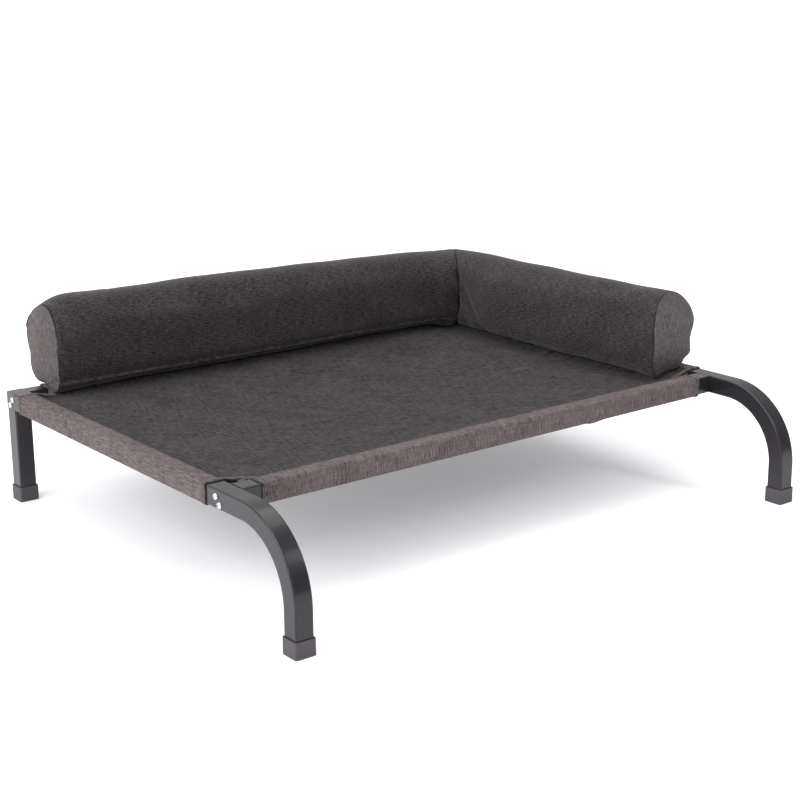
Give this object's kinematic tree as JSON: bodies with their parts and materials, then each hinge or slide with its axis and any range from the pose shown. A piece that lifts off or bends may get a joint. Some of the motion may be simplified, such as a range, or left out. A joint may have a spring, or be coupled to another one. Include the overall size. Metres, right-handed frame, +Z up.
{
  "type": "raised dog bed",
  "caption": "Raised dog bed: square-tube steel frame with arched front legs, a stretched cloth sling and an L-shaped bolster along the back and one side.",
  "frame": {"origin": "on the floor, under the centre of the object's bounding box", "axes": "+Z up, +X along the long side to the right as seen from the open front, +Y from the open front to the bolster at the back"},
  "size_m": [1.1046, 0.976, 0.361],
  "materials": {
    "powder_coated_steel": "satin",
    "zinc_steel": "satin",
    "chrome_bolt": "polished",
    "nylon_black": "satin",
    "foot_cap_plastic": "satin",
    "sling_cloth": "matte",
    "bolster_cloth": "matte",
    "hook_tape": "matte",
    "loop_tape": "matte",
    "fibre_filling": "matte",
    "zip_tape": "matte",
    "zip_coil": "satin",
    "zip_metal": "satin"
  },
  "bodies": {
    "frame": {"front_left_leg": "powder_coated_steel", "front_left_stub": "powder_coated_steel", "front_left_foot_cap": "foot_cap_plastic", "front_right_leg": "powder_coated_steel", "front_right_stub": "powder_coated_steel", "front_right_foot_cap": "foot_cap_plastic", "back_left_leg": "powder_coated_steel", "back_left_stub": "powder_coated_steel", "back_left_foot_cap": "foot_cap_plastic", "back_right_leg": "powder_coated_steel", "back_right_stub": "powder_coated_steel", "back_right_foot_cap": "foot_cap_plastic", "front_rail": "powder_coated_steel", "back_rail": "powder_coated_steel", "left_end_rail": "powder_coated_steel", "right_end_rail": "powder_coated_steel", "end_rail_spigots": "zinc_steel", "long_rail_spigots": "zinc_steel", "leg_mouth_collars": "nylon_black", "stub_mouth_collars": "nylon_black", "corner_bolts": "chrome_bolt", "corner_nuts": "zinc_steel", "deck_panel": "sling_cloth", "front_sleeve": "sling_cloth", "back_sleeve": "sling_cloth", "left_sleeve": "sling_cloth", "right_sleeve": "sling_cloth", "sling_hook_tapes": "hook_tape", "sling_loop_tapes": "loop_tape", "bolster_hook_patches": "hook_tape"},
    "bolster": {"bolster_back_cover": "bolster_cloth", "bolster_side_cover": "bolster_cloth", "bolster_back_end_panel": "bolster_cloth", "bolster_side_end_panel": "bolster_cloth", "bolster_back_fill": "fibre_filling", "bolster_side_fill": "fibre_filling", "bolster_loop_patches": "loop_tape", "zip_tape": "zip_tape", "zip_coil": "zip_coil"},
    "zip_slider": {"zip_slider": "zip_metal"},
    "zip_pull": {"zip_pull": "zip_metal"}
  },
  "joints": [
    {"name": "bolster_lift", "type": "slide", "parent": "frame", "child": "bolster", "axis": [0, 0, 1], "range_m": [0, 0.2]},
    {"name": "zip_slide", "type": "slide", "parent": "bolster", "child": "zip_slider", "axis": [1, 0, 0], "range_m": [0, 0.806]},
    {"name": "zip_pull_swing", "type": "hinge", "parent": "zip_slider", "child": "zip_pull", "pos_m": [-0.403, 0.4836, 0.25907], "axis": [1, 0, 0], "range_deg": [-5, 120]}
  ]
}
